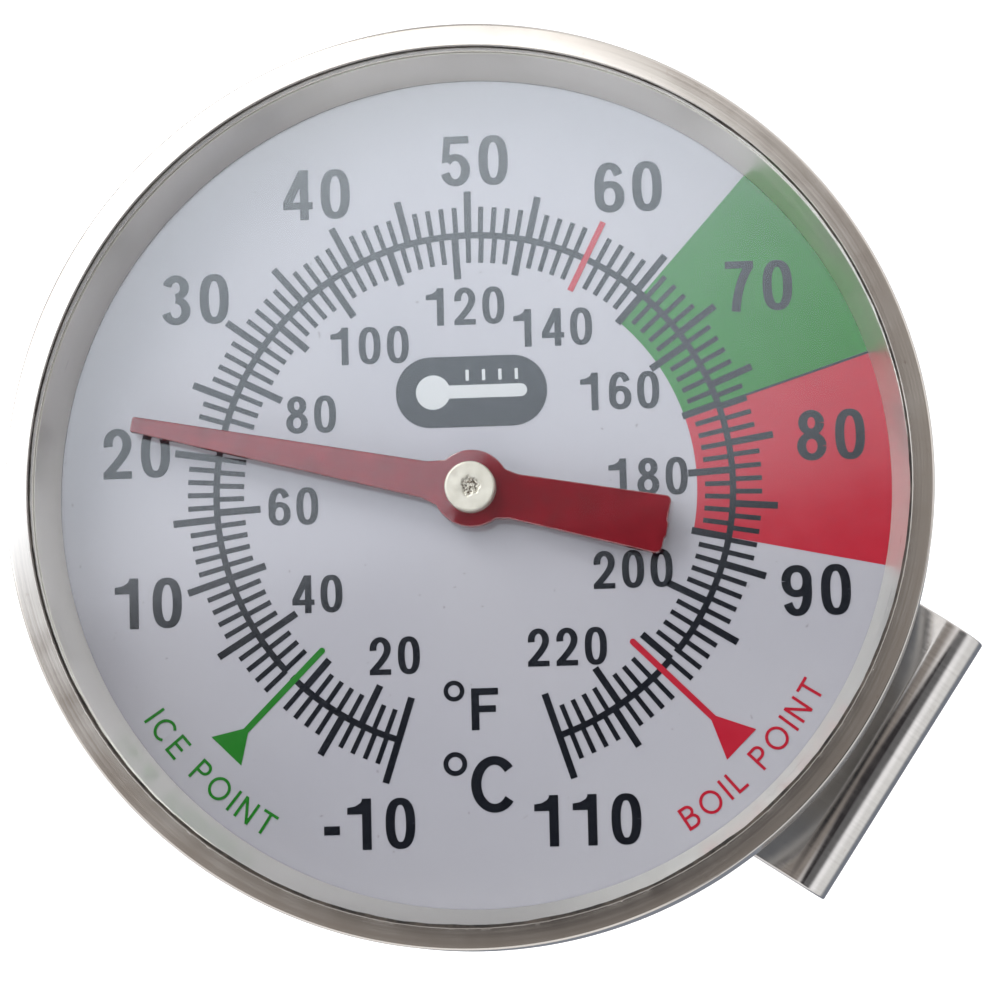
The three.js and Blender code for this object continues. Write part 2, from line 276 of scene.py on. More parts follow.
def steel(name, grain, pale, dark, rough, lines=0.0012, stain=0.0, grime_and_shade=0.0, painted_shade=0.0):
    """Bare metal, whose grain runs round the axis, along it, or along a strip's length.

    lines is the grain's height in mm, and stain the strength of brown spots. Grime, which goes
    with the round grain, sits inside the radius given for it, with painted shade that makes it
    darkest towards the foot of the dial. Painted shade also darkens the side towards the clip.
    """
    s = Material(name)
    x, y, z = s.x, s.y, s.z
    if grain == "round":
        radius = s.from_axis(x, y)
        along = s.xyz(s.times(x, 0.04), s.times(y, 0.04), s.times(radius, 9.0))
        fine = s.noise(along, 1.0, 3.0, 0.6, w=s.times(z, 9.0))
    elif grain == "ground":
        along = s.xyz(s.times(x, 0.35), s.times(y, 0.35), s.times(z, 7.0))
        fine = s.noise(along, 1.0, 3.0, 0.6)
    else:
        strip = s.add("UVMap", uv_map="strip").outputs[0]
        length, width, _ = s.add("SeparateXYZ", {0: strip}).outputs
        fine = s.noise(s.xyz(s.times(length, 0.10), s.times(width, 7.0), 0.0), 1.0, 3.0, 0.6)
    cloud = s.noise(s.place, 0.35, 4.0, 0.6)
    spots = s.noise(s.place, 1.7, 5.0, 0.7)

    colour = s.mix(s.spread(fine, 0.3, 0.7), dark, pale)
    colour = s.mix(s.spread(cloud, 0.45, 0.75, 0.0, 0.22), colour, tuple(v * 0.8 for v in dark))
    # Painted shade: the side of the metal towards the clip is made darker.
    if painted_shade:
        side = s.math("SUBTRACT", x, y)
        shade_mask = s.spread(side, -4.0, 26.0, 0.0, painted_shade)
        colour = s.mix(shade_mask, colour, tuple(v * 0.55 for v in dark))
    if stain:
        colour = s.mix(s.spread(spots, 0.62, 0.74, 0.0, stain), colour, STAIN_BROWN)
    shine = s.math("ADD", s.spread(fine, 0.3, 0.7, rough * 0.8, rough * 1.25),
                   s.spread(cloud, 0.35, 0.7, -0.03, 0.05))
    normal = s.bump(fine, lines, 0.6)
    if not grime_and_shade:
        return s.done(s.principled(
            Base_Color=colour, Metallic=1.0, Roughness=shine, Normal=normal))

    grime_and_shade_mask = s.math("ADD", s.spread(radius, grime_and_shade, grime_and_shade + 0.06, 1.0, 0.0),
                   s.spread(spots, 0.5, 0.8, -0.1, 0.6))
    inside = s.spread(radius, grime_and_shade, grime_and_shade + 0.22, 1.0, 0.0)
    grime_and_shade_mask = s.math("MULTIPLY", inside, grime_and_shade_mask, clamp=True)
    # Painted shade: the grime is darkest towards the foot of the dial and lightest at its top.
    grime_and_shade_mask = s.times(grime_and_shade_mask, s.spread(y, -9.0, 5.0, 1.0, 0.1))
    return s.done(s.principled(
        Base_Color=s.mix(grime_and_shade_mask, colour, GRIME_AND_SHADE_BROWN),
        Metallic=s.spread(grime_and_shade_mask, 0.0, 1.0, 1.0, 0.0),
        Roughness=s.math("ADD", shine, s.times(grime_and_shade_mask, 0.5)), Normal=normal))


def plain_metal(name, pale, dark, rough):
    """A cut or sprung metal surface with fine grain in every direction."""
    s = Material(name)
    fine = s.noise(s.place, 6.0, 4.0, 0.65)
    cloud = s.noise(s.place, 0.8, 3.0, 0.5)
    grain = s.times(s.math("ADD", fine, cloud), 0.5)
    colour = s.mix(s.spread(grain, 0.35, 0.65), dark, pale)
    return s.done(s.principled(
        Base_Color=colour, Metallic=1.0, Normal=s.bump(fine, 0.0015, 0.5),
        Roughness=s.spread(fine, 0.3, 0.7, rough * 0.8, rough * 1.3)))


def rubber(name):
    """Black rubber with grey-brown dirt in its pores."""
    s = Material(name)
    grain = s.noise(s.place, 5.0, 5.0, 0.7)
    dirt = s.noise(s.place, 1.1, 4.0, 0.65)
    colour = s.mix(s.spread(dirt, 0.38, 0.72), (0.018, 0.016, 0.015), (0.11, 0.09, 0.075))
    return s.done(s.principled(
        Base_Color=colour, Roughness=s.spread(grain, 0.3, 0.7, 0.55, 0.85),
        Normal=s.bump(grain, 0.02, 0.6), Specular_IOR_Level=0.35))


def dial_paint():
    """Glossy cool-white enamel with a faint orange peel and a few specks."""
    s = Material("dial_paint")
    peel = s.noise(s.place, 2.2, 3.0, 0.5)
    cloud = s.noise(s.place, 0.09, 3.0, 0.5)
    specks = s.noise(s.place, 2.6, 2.0, 0.4)
    colour = s.mix(s.spread(cloud, 0.35, 0.65), (0.450, 0.440, 0.500), (0.478, 0.467, 0.524))
    colour = s.mix(s.spread(specks, 0.745, 0.78, 0.0, 0.5), colour, (0.25, 0.24, 0.25))
    return s.done(s.principled(
        Base_Color=colour, Roughness=s.spread(peel, 0.3, 0.7, 0.07, 0.09),
        Normal=s.bump(peel, 0.0003, 0.5), **GLOSS))


def ink(name, deep, thin, patchy=0.35):
    """Screen-printed ink, a little uneven, with pinholes where it took less."""
    s = Material(name)
    body = s.noise(s.place, 0.5, 4.0, 0.6)
    pinholes = s.noise(s.place, 7.0, 3.0, 0.6)
    colour = s.mix(s.spread(body, 0.35, 0.7, 0.0, patchy), deep, thin)
    colour = s.mix(s.spread(pinholes, 0.66, 0.76, 0.0, 0.5), colour, thin)
    return s.done(s.principled(
        Base_Color=colour, Roughness=s.spread(pinholes, 0.3, 0.7, 0.07, 0.10),
        Normal=s.bump(pinholes, 0.0001, 0.4), **GLOSS))


def pointer_plastic():
    """Dark red moulded plastic with flow marks and a little dust."""
    s = Material("pointer_plastic")
    flow = s.noise(s.place, 0.6, 4.0, 0.6)
    grain = s.noise(s.place, 9.0, 3.0, 0.6)
    dust = s.noise(s.place, 3.4, 5.0, 0.75)
    colour = s.mix(s.spread(flow, 0.35, 0.7), (0.165, 0.008, 0.014), (0.24, 0.012, 0.021))
    colour = s.mix(s.spread(dust, 0.66, 0.78, 0.0, 0.25), colour, (0.42, 0.15, 0.15))
    return s.done(s.principled(
        Base_Color=colour, Roughness=s.spread(grain, 0.3, 0.7, 0.06, 0.11),
        Normal=s.bump(grain, 0.0003, 0.5), **GLOSS))


def hub_metal():
    """Soft silver metal, torn and dark where it was staked in the middle."""
    s = Material("hub_metal")
    radius = s.from_axis(s.x, s.y)
    grain = s.noise(s.place, 7.0, 4.0, 0.7)
    cloud = s.noise(s.place, 1.4, 3.0, 0.6)
    scratch = s.noise(s.place, 3.6, 3.0, 0.65, distortion=2.2)
    torn = s.math("ADD", s.spread(radius, 0.30, 0.62, 0.62, 0.0),
                  s.spread(cloud, 0.3, 0.7, -0.2, 0.2))
    torn = s.times(s.spread(torn, 0.2, 0.45), s.spread(scratch, 0.49, 0.54))
    colour = s.mix(s.spread(cloud, 0.35, 0.7), (0.56, 0.535, 0.475), (0.66, 0.635, 0.575))
    colour = s.mix(torn, colour, (0.10, 0.075, 0.055))
    return s.done(s.principled(
        Base_Color=colour, Metallic=0.75, Roughness=s.spread(grain, 0.3, 0.7, 0.34, 0.56),
        Normal=s.bump(grain, 0.006, 0.6)))


def lens_glass():
    """Clear flat glass with little glare, that lets the lamps through to the dial."""
    s = Material("lens_glass")
    smear = s.noise(s.place, 0.12, 3.0, 0.6)
    dust = s.noise(s.place, 2.1, 2.0, 0.5)
    rough = s.math("ADD", s.spread(smear, 0.5, 0.8, 0.0, 0.02),
                   s.spread(dust, 0.76, 0.80, 0.0, 0.25))
    glass = s.principled(Base_Color=(0.985, 0.995, 0.99), Roughness=rough,
                         Transmission_Weight=1.0, IOR=1.15)
    clear = s.add("BsdfTransparent", {"Color": (0.97, 0.98, 0.975, 1)}).outputs[0]
    path = s.add("LightPath").outputs
    lit = s.math("MAXIMUM", path["Is Shadow Ray"], path["Is Diffuse Ray"])
    mixed = s.add("MixShader", {0: lit, 1: glass, 2: clear}).outputs[0]
    return s.done(mixed)


def ground_glass():
    """The sawn rim of the lens, frosted and a little dirty."""
    s = Material("ground_glass")
    frost = s.noise(s.place, 6.0, 4.0, 0.7)
    dirt = s.noise(s.place, 0.9, 4.0, 0.6)
    colour = s.mix(s.spread(frost, 0.35, 0.65), (0.60, 0.60, 0.56), (0.72, 0.72, 0.69))
    colour = s.mix(s.spread(dirt, 0.5, 0.75, 0.0, 0.5), colour, (0.34, 0.29, 0.24))
    return s.done(s.principled(
        Base_Color=colour, Roughness=s.spread(frost, 0.3, 0.7, 0.55, 0.8),
        Normal=s.bump(frost, 0.006, 0.5)))


LIP = 23.8
BEZEL_STEEL = steel("bezel_steel", "round", (0.71, 0.675, 0.63), (0.665, 0.63, 0.59), 0.18,
                    lines=0.0002, stain=0.35, grime_and_shade=LIP + 0.01)
CASE_STEEL = steel("case_steel", "round", (0.66, 0.65, 0.63), (0.50, 0.49, 0.475), 0.32)
CLIP_STEEL = steel("clip_steel", "strip", (0.72, 0.70, 0.68), (0.64, 0.62, 0.60), 0.13,
                   lines=0.0003, stain=0.35)
STEM_STEEL = steel("stem_steel", "ground", (0.72, 0.71, 0.69), (0.56, 0.55, 0.53), 0.22)
NUT_STEEL = steel("nut_steel", "round", (0.66, 0.65, 0.62), (0.50, 0.49, 0.47), 0.30, stain=0.25)
# The spacer's side towards the clip is darkened by painted shade.
SPACER_METAL = steel("spacer_metal", "round", (0.93, 0.915, 0.87), (0.89, 0.875, 0.83), 0.36,
                     lines=0.0001, painted_shade=0.8)
SPRING_STEEL = plain_metal("spring_steel", (0.56, 0.56, 0.56), (0.42, 0.42, 0.42), 0.32)
BRASS = plain_metal("bush_brass", (0.78, 0.60, 0.30), (0.62, 0.45, 0.20), 0.34)
BIMETAL = plain_metal("bimetal_strip", (0.50, 0.44, 0.36), (0.36, 0.32, 0.28), 0.42)
RUBBER = rubber("seal_rubber")
DIAL_PAINT = dial_paint()
BLACK_INK = ink("black_ink", (0.005, 0.006, 0.010), (0.018, 0.020, 0.028))
GREEN_INK = ink("green_ink", (0.014, 0.180, 0.014), (0.028, 0.215, 0.030))
RED_INK = ink("red_ink", (0.450, 0.013, 0.032), (0.515, 0.030, 0.055))
WHITE_INK = ink("white_ink", (0.62, 0.63, 0.66), (0.52, 0.53, 0.56))
POINTER_RED = pointer_plastic()
HUB_METAL = hub_metal()
LENS_GLASS = lens_glass()
GROUND_GLASS = ground_glass()

# Hidden pieces keep their CAD shape, with a better material.
for material, nodes in (
    (SPRING_STEEL, ("friction_washer", "retaining_ring", "pointer_shaft")),
    (BRASS, ("upper_guide_bush", "lower_guide_bush", "coil_anchor", "coil_collar")),
):
    for node in nodes:
        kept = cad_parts[node]
        kept.data.materials.clear()
        kept.data.materials.append(material)


def finish_piece(piece, body, material, slot, *nodes):
    """Gives a piece its material and body, and hides the CAD nodes it stands for. The slot is not
    used.
    """
    piece.data.materials.append(material)
    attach(piece, body)
    if nodes:
        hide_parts(*nodes)


# ---- the head


def head_piece(name, profile, steps, segments, material, slot, node, wobble=None):
    """A piece turned from a profile whose corners are rounded."""
    piece = lathe(name, rounded(profile, steps), segments, wobble=wobble)
    finish_piece(piece, "head", material, slot, node)


CASE_WALL = 0.55
CASE_FLOOR_RADIUS, CASE_RADIUS, NECK_HOLE = 22.0, 24.45, 3.5
CASE_STEP, CASE_TOP = 4.0, 9.0
head_piece("case_shell", [
    (NECK_HOLE, 0, 0.12), (2 * NECK_HOLE, 0), (CASE_FLOOR_RADIUS, 0, 1.5),
    (CASE_FLOOR_RADIUS, CASE_STEP, 0.8), (CASE_RADIUS, CASE_STEP, 0.6),
    (CASE_RADIUS, CASE_TOP, 0.12), (CASE_RADIUS - 0.45, CASE_TOP, 0.12),
    (CASE_RADIUS - 0.45, CASE_STEP + CASE_WALL, 0.1),
    (CASE_FLOOR_RADIUS - CASE_WALL, CASE_STEP + CASE_WALL - 0.05, 0.2),
    (CASE_FLOOR_RADIUS - CASE_WALL, CASE_WALL, 0.95), (NECK_HOLE, CASE_WALL, 0.12),
], 8, 192, CASE_STEEL, "case_steel", "case_cup")

LIP_BOTTOM = 9.45
SKIRT_RADIUS = 24.55
head_piece("bezel_rim", [
    (SKIRT_RADIUS, BEZEL_BOTTOM, 0.1), (BEZEL_RADIUS, BEZEL_BOTTOM, 0.16),
    (BEZEL_RADIUS, HEAD_TOP - 0.09, 0.15), (LIP + 0.03, HEAD_TOP), (LIP, HEAD_TOP - 0.03),
    (LIP, LIP_BOTTOM, 0.1), (SKIRT_RADIUS - 0.2, LIP_BOTTOM, 0.1),
    (SKIRT_RADIUS, LIP_BOTTOM - 0.2, 0.05),
], 8, 256, BEZEL_STEEL, "bezel_steel", "bezel_ring")


def ragged(radius, turn):
    """The gasket's inner edge isn't cut perfectly round, and sits a little off centre."""
    if radius > LIP:
        return 0.0
    place = Vector((math.cos(turn), math.sin(turn), 0))
    off_centre = 0.09 * math.cos(turn - 2.0)
    return 0.04 * noise.noise(place * 9) + 0.03 * noise.noise(place * 31) + off_centre


GASKET_INNER, GASKET_OUTER = LIP - 0.09, 24.15
GASKET_TOP = LIP_BOTTOM - 0.05
head_piece("lens_seal", [
    (GASKET_INNER, LENS_TOP + 0.05, 0.06), (GASKET_OUTER, LENS_TOP + 0.05),
    (GASKET_OUTER, GASKET_TOP), (GASKET_INNER, GASKET_TOP, 0.06),
], 3, 384, RUBBER, "seal_rubber", "lens_gasket", wobble=ragged)

LENS_RADIUS = 23.78
glass = lathe("lens_disc", [
    (0, LENS_BOTTOM), (LENS_RADIUS - 0.02, LENS_BOTTOM), (LENS_RADIUS, LENS_BOTTOM + 0.02),
    (LENS_RADIUS, LENS_TOP - 0.02), (LENS_RADIUS - 0.02, LENS_TOP), (0, LENS_TOP),
], 192, sharp=20)
finish_piece(glass, "head", LENS_GLASS, "lens_glass", "lens")

RIM_INNER, RIM_OUTER = LENS_RADIUS + 0.01, 23.85
ground_rim = lathe("lens_ground_rim", [
    (RIM_INNER, LENS_BOTTOM + 0.02), (RIM_OUTER, LENS_BOTTOM + 0.05),
    (RIM_OUTER, LENS_TOP - 0.05), (RIM_INNER, LENS_TOP - 0.02),
], 192)
finish_piece(ground_rim, "head", GROUND_GLASS, "lens_glass")

WALL_FOOT_RADIUS, WALL_HEAD_RADIUS = 22.72, 23.7
head_piece("spacer_wall", [
    (WALL_FOOT_RADIUS, DIAL_TOP + 0.05, 0.04), (RIM_OUTER, DIAL_TOP + 0.05),
    (RIM_OUTER, LENS_BOTTOM - 0.05, 0.05), (WALL_HEAD_RADIUS, LENS_BOTTOM - 0.05, 0.05),
    (WALL_FOOT_RADIUS + 0.03, DIAL_TOP + 0.1, 0.03),
], 5, 256, SPACER_METAL, "spacer_metal", "spacer_ring")

# A loop of points just inside each rounded edge keeps the flat face of the dial shaded flat.
DIAL_HOLE, DIAL_SHEET = 1.0, 0.45
head_piece("dial_disc", [
    (DIAL_HOLE, DIAL_TOP - DIAL_SHEET), (DIAL_EDGE, DIAL_TOP - DIAL_SHEET, 0.05),
    (DIAL_EDGE, DIAL_TOP, 0.08), (DIAL_EDGE - 0.2, DIAL_TOP), (DIAL_HOLE + 0.2, DIAL_TOP),
    (DIAL_HOLE, DIAL_TOP, 0.08),
], 3, 192, DIAL_PAINT, "dial_white", "dial_plate")

# ---- the print on the dial


def bar(x0, y0, x1, y1):
    return [[(x0, y0), (x1, y0), (x1, y1), (x0, y1)]]


def oval(cx, cy, a, b, start, end, steps=14, power=2.0):
    """Points on an ellipse, or a squarer superellipse where power is above 2."""
    points = []
    for i in range(steps + 1):
        t = math.radians(start + (end - start) * i / steps)
        c, s = math.cos(t), math.sin(t)
        points.append((
            cx + a * math.copysign(abs(c) ** (2 / power), c),
            cy + b * math.copysign(abs(s) ** (2 / power), s),
        ))
    return points


def curve(a, b, c, steps=8):
    """A quadratic curve from a to c, pulled towards b."""
    return [
        tuple(
            (1 - t) ** 2 * pa + 2 * t * (1 - t) * pb + t * t * pc
            for pa, pb, pc in zip(a, b, c)
        )
        for t in (i / steps for i in range(steps + 1))
    ]


def pen(path, upright=0.18, level=0.14):
    """The quads that a pen leaves along a path, wider where the path runs up or down."""
    sides = []
    for i, point in enumerate(path):
        ahead = Vector(path[min(i + 1, len(path) - 1)]) - Vector(path[max(i - 1, 0)])
        along = ahead.normalized()
        width = level + (upright - level) * along.y ** 2
        across = Vector((-along.y, along.x)) * width / 2
        sides.append((Vector(point) + across, Vector(point) - across))
    return [[tuple(a), tuple(b), tuple(d), tuple(c)] for (a, b), (c, d) in zip(sides, sides[1:])]


# Figures and large letters: polygons in a box one unit high, with the baseline at 0.
SIX = (
    pen(oval(0.30, 0.315, 0.205, 0.245, 0, 360, 26, 2.2))
    + pen(oval(0.30, 0.50, 0.205, 0.43, 32, 195, 16, 2.3))
)
GLYPHS = {
    "0": pen(oval(0.29, 0.5, 0.20, 0.43, 0, 360, 36, 2.5)),
    "1": bar(0.29, 0, 0.47, 1) + [
        [(0, 0.694), (0.30, 0.694), (0.30, 0.826), (0, 0.826)],
        [(0.0, 0.826), (0.18, 0.826), (0.30, 0.826), (0.335, 1.0), (0.31, 1.0),
         (0.26, 0.915), (0.15, 0.85)],
    ],
    "2": pen(oval(0.285, 0.69, 0.19, 0.24, 192, -28, 16)[:-1]
             + curve((0.453, 0.577), (0.405, 0.43), (0.09, 0.10)))
    + bar(0, 0, 0.565, 0.145),
    "3": pen(oval(0.275, 0.745, 0.175, 0.185, 168, -92, 14))
    + pen(oval(0.275, 0.285, 0.20, 0.215, 92, -168, 16)),
    "4": bar(0.335, 0, 0.505, 1) + bar(0, 0.215, 0.585, 0.355) + [
        [(0, 0.30), (0.16, 0.30), (0.40, 0.78), (0.40, 1), (0.32, 1), (0, 0.37)],
    ],
    "5": bar(0.075, 0.855, 0.557, 1)
    + [[(0.067, 1), (0.205, 1), (0.160, 0.50), (0.023, 0.467)]]
    + pen(oval(0.285, 0.325, 0.205, 0.255, 140, -166, 20)),
    "6": SIX,
    "7": bar(0.02, 0.855, 0.575, 1)
    + pen(curve((0.50, 0.91), (0.26, 0.55), (0.215, 0)), 0.175, 0.175),
    "8": pen(oval(0.29, 0.745, 0.165, 0.185, 0, 360, 24))
    + pen(oval(0.29, 0.285, 0.20, 0.215, 0, 360, 24)),
    "9": [[(0.58 - x, 1 - y) for x, y in quad] for quad in SIX],
    "-": bar(0.02, 0.30, 0.33, 0.475),
    "F": bar(0, 0, 0.185, 1) + bar(0, 0.835, 0.645, 1) + bar(0, 0.425, 0.585, 0.585),
    "C": pen(oval(0.41, 0.5, 0.325, 0.42, 38, 322, 30), 0.18, 0.155),
}
# Thin letters: the width of each, and the paths that a pen follows.
UPRIGHT = [(0.065, 0), (0.065, 1)]
THIN = {
    "I": (0.13, [UPRIGHT]),
    "C": (0.80, [oval(0.45, 0.5, 0.39, 0.44, 48, 312, 18)]),
    "E": (0.60, [
        UPRIGHT, [(0, 0.94), (0.58, 0.94)], [(0, 0.52), (0.54, 0.52)], [(0, 0.06), (0.6, 0.06)],
    ]),
    "P": (0.62, [
        UPRIGHT,
        [(0, 0.94), (0.33, 0.94)] + oval(0.33, 0.71, 0.23, 0.23, 90, -90, 10) + [(0.0, 0.48)],
    ]),
    "O": (0.94, [oval(0.47, 0.5, 0.41, 0.44, 0, 360, 28)]),
    "N": (0.72, [UPRIGHT, [(0.655, 0), (0.655, 1)], [(0.065, 0.98), (0.655, 0.02)]]),
    "T": (0.70, [[(0.35, 0), (0.35, 1)], [(0, 0.94), (0.70, 0.94)]]),
    "B": (0.64, [
        UPRIGHT,
        [(0, 0.94), (0.31, 0.94)] + oval(0.31, 0.735, 0.22, 0.205, 90, -90, 10) + [(0, 0.53)],
        [(0.3, 0.53)] + oval(0.34, 0.295, 0.235, 0.235, 90, -90, 10) + [(0, 0.06)],
    ]),
    "L": (0.54, [UPRIGHT, [(0, 0.06), (0.54, 0.06)]]),
    " ": (0.30, []),
}
FIGURE_WIDTH, FIGURE_STEP, MINUS_STEP = 0.57, 0.75, 0.48


def moved(shapes, scale, x, y, turn=0.0):
    """Shapes scaled, turned and then put at x, y."""
    c, s = math.cos(turn) * scale, math.sin(turn) * scale
    return [[(x + c * px - s * py, y + s * px + c * py) for px, py in shape] for shape in shapes]


def word(text, height, x, y):
    """Upright figures with their middle at x, y."""
    width = FIGURE_STEP * (len(text) - 1) + FIGURE_WIDTH
    start = 0.0
    shapes = []
    for letter in text:
        shapes += moved(GLYPHS[letter], height, x + (start - width / 2) * height, y - height / 2)
        start += MINUS_STEP if letter == "-" else FIGURE_STEP
    return shapes


def curved_word(text, height, base_radius, middle, weight=0.125, space=0.26):
    """Thin letters along a circle, their feet on it and their heads towards the centre."""
    widths = [THIN[letter][0] for letter in text]
    start = -(sum(widths) + space * (len(text) - 1)) / 2
    shapes = []
    for letter, width in zip(text, widths):
        turn = middle + (start + width / 2) * height / (base_radius - height / 2)
        spoke = Vector((math.cos(turn), math.sin(turn))) * base_radius
        lean = turn + math.pi / 2
        for path in THIN[letter][1]:
            quads = pen([(px - width / 2, py) for px, py in path], weight, weight)
            shapes += moved(quads, height, spoke.x, spoke.y, lean)
        start += width + space
    return shapes


def spoke_bar(angle, inner, outer, width, shift=0.0):
    """A straight bar along a radius of the dial, which may stand to one side of it."""
    along = Vector((math.cos(angle), math.sin(angle)))
    across = Vector((-along.y, along.x))
    a, b = along * inner + across * shift, along * outer + across * shift
    half = across * width / 2
    return [[tuple(a - half), tuple(b - half), tuple(b + half), tuple(a + half)]]


def sector(inner, outer, start, end, steps):
    """Quads of a ring between two angles in radians."""
    angles = [start + (end - start) * i / steps for i in range(steps + 1)]
    at = lambda r, t: (r * math.cos(t), r * math.sin(t))
    return [
        [at(inner, s), at(outer, s), at(outer, t), at(inner, t)] for s, t in zip(angles, angles[1:])
    ]


def disc(cx, cy, outer, inner=0.0, steps=32):
    """A disc as one polygon, or a ring of quads where inner is above 0."""
    if inner:
        return moved(sector(inner, outer, 0, 2 * math.pi, steps), 1, cx, cy)
    return [arc(cx, cy, outer, 0, 360 * (steps - 1) / steps, steps - 1)]


def merged(shapes):
    """The union of overlapping polygons, as points and triangles."""
    simple = []
    for shape in shapes:
        if len(shape) == 4:
            a, b, c, d = shape
            simple += [[a, b, c], [a, c, d]]
        else:
            simple.append(shape)
    points, faces = [], []
    for shape in simple:
        area = sum(a[0] * b[1] - b[0] * a[1] for a, b in zip(shape, shape[1:] + shape[:1]))
        if abs(area) < 1e-8:
            continue
        shape = shape if area > 0 else shape[::-1]
        faces.append(list(range(len(points), len(points) + len(shape))))
        points += [Vector(p) for p in shape]
    verts, _, tris, _, _, origin = delaunay_2d_cdt(points, [], faces, 0, 1e-5)
    return verts, [tri for tri, source in zip(tris, origin) if source]


def printed(name, groups, thickness, material, slot):
    """A layer of print on the dial: each group of shapes merged into one thin closed solid."""
    bottom = BACK + (DIAL_TOP - 0.004) * MM
    top = BACK + (DIAL_TOP + thickness) * MM
    bm = bmesh.new()
    for group in groups:
        verts, tris = merged(group)
        low = [bm.verts.new((v[0] * MM, v[1] * MM, bottom)) for v in verts]
        high = [bm.verts.new((v[0] * MM, v[1] * MM, top)) for v in verts]
        uses = {}
        for tri in tris:
            bm.faces.new([high[i] for i in tri])
            bm.faces.new([low[i] for i in reversed(tri)])
            for a, b in zip(tri, tri[1:] + tri[:1]):
                uses.setdefault(frozenset((a, b)), []).append((a, b))
        for sides in uses.values():
            if len(sides) == 1:
                a, b = sides[0]
                bm.faces.new([low[a], low[b], high[b], high[a]])
    bmesh.ops.delete(bm, geom=[v for v in bm.verts if not v.link_faces], context="VERTS")
    finish_piece(object_from_bmesh(name, bm, 30), "head", material, slot)


def fahrenheit_angle(degree):
    return dial_angle((degree - 32) / 1.8)


# Radii of the print. The ring carries Celsius ticks outside it and Fahrenheit ticks inside it.
RING, RING_HALF = 14.15, 0.175
LONG_TICK, SHORT_TICK = 16.6, 15.73
LONG_TICK_F, MIDDLE_TICK_F, SHORT_TICK_F = 11.75, 12.1, 12.63
BROAD, FINE = 0.38, 0.27
ZONE_INNER, ZONE_OUTER = 12.2, DIAL_EDGE - 0.15
GREEN_FROM_F, GREEN_TO_F, RED_TO_F = 150, 170.3, 190
RED_LINE_C, ICE_C, BOIL_C = 60, 0, 100


def zone(from_f, to_f, margin=0.0):
    """The coloured sector between two Fahrenheit readings, out to the edge of the dial."""
    start, end = fahrenheit_angle(to_f) + margin, fahrenheit_angle(from_f)
    return sector(ZONE_INNER, ZONE_OUTER, start, end, 40)


def ring_between(warm, cold, steps):
    return sector(RING - RING_HALF, RING + RING_HALF, dial_angle(warm), dial_angle(cold), steps)


def test_mark(angle, foot):
    """A pin with a flared foot that points in to one reading of the scale."""
    inner, outer = 12.0, 18.0
    along = Vector((math.cos(angle), math.sin(angle)))
    across = Vector((-along.y, along.x))
    neck, base = along * outer, along * foot
    flare = [neck - across * 0.16, base - across * 1.14, base + across * 1.14, neck + across * 0.16]
    return (
        spoke_bar(angle, inner, outer + 0.3, 0.34)
        + disc(*(along * inner), 0.17, steps=16)
        + [[tuple(p) for p in flare]]
    )


# The ring is broken where the two test marks cross it, and they take the place of its ticks.
ticks = ring_between(110, 99.1, 24) + ring_between(98.2, 1.0, 200) + ring_between(0.3, -10, 24)
for degree in range(-10, 111):
    if degree in (-10, 110):
        ticks += spoke_bar(dial_angle(degree), LONG_TICK_F, LONG_TICK, BROAD)
    elif degree in (ICE_C, RED_LINE_C, BOIL_C):
        continue
    elif degree % 5 == 0:
        ticks += spoke_bar(dial_angle(degree), RING, LONG_TICK, BROAD)
    else:
        ticks += spoke_bar(dial_angle(degree), RING, SHORT_TICK, FINE)
for degree in range(16, 230, 2):
    if degree in (32, 140, 212):
        continue
    if degree % 10:
        inner, width = SHORT_TICK_F, FINE
    else:
        inner, width = MIDDLE_TICK_F if degree % 20 else LONG_TICK_F, BROAD
    ticks += spoke_bar(fahrenheit_angle(degree), inner, RING, width)

FIGURE_RADIUS, FIGURE_HEIGHT = 18.5, 2.78
FIGURE_RADIUS_F, FIGURE_HEIGHT_F = 9.95, 2.07
# The lettering was set by hand, so some figures stand a little off their circle.
SET_OFF = {
    10: (-0.5, 0.12), 20: (-0.4, 0.2), 30: (-0.34, 0.26), 40: (-0.13, 0.36), 50: (0.3, 0.0),
    60: (0.3, 0.0), 70: (0.3, -0.4), 80: (0.3, -0.15), 110: (-0.2, 0.0),
}
SET_OFF_F = {
    40: (-0.35, 0.05), 100: (-0.1, -0.18), 120: (0.28, 0.0), 200: (0.0, -0.15), 220: (-0.45, -0.4),
}
figures = []
for degree in range(-10, 120, 10):
    if degree in (ICE_C, BOIL_C):
        continue
    angle = dial_angle(degree)
    across, along = math.cos(angle), math.sin(angle)
    radius = FIGURE_RADIUS + 0.85 * max(0.0, across) ** 2 + 0.45 * max(0.0, -along) ** 2
    radius -= 0.2 * max(0.0, along) ** 4
    lower = 0.4 if abs(along) < 0.2 else 0.0
    right, up = SET_OFF.get(degree, (0.0, 0.0))
    x, y = radius * across + 0.12 + right, radius * along - lower + up
    figures.append(word(str(degree), FIGURE_HEIGHT, x, y))
for degree in range(20, 240, 20):
    angle = fahrenheit_angle(degree)
    across, along = math.cos(angle), math.sin(angle)
    radius = FIGURE_RADIUS_F - 0.4 * max(0.0, across) ** 2 + 0.3 * max(0.0, along) ** 8
    right, up = SET_OFF_F.get(degree, (0.0, 0.0))
    x, y = radius * across + right, radius * along + up
    figures.append(word(str(degree), FIGURE_HEIGHT_F, x, y))
# The unit signs: a letter and its degree ring, for each scale.
figures += [
    moved(GLYPHS["F"], 2.28, -0.38, -13.05), disc(-1.31, -10.89, 0.57, 0.32),
    moved(GLYPHS["C"], 3.09, -0.47, -17.55), disc(-1.32, -14.85, 0.65, 0.38),
]

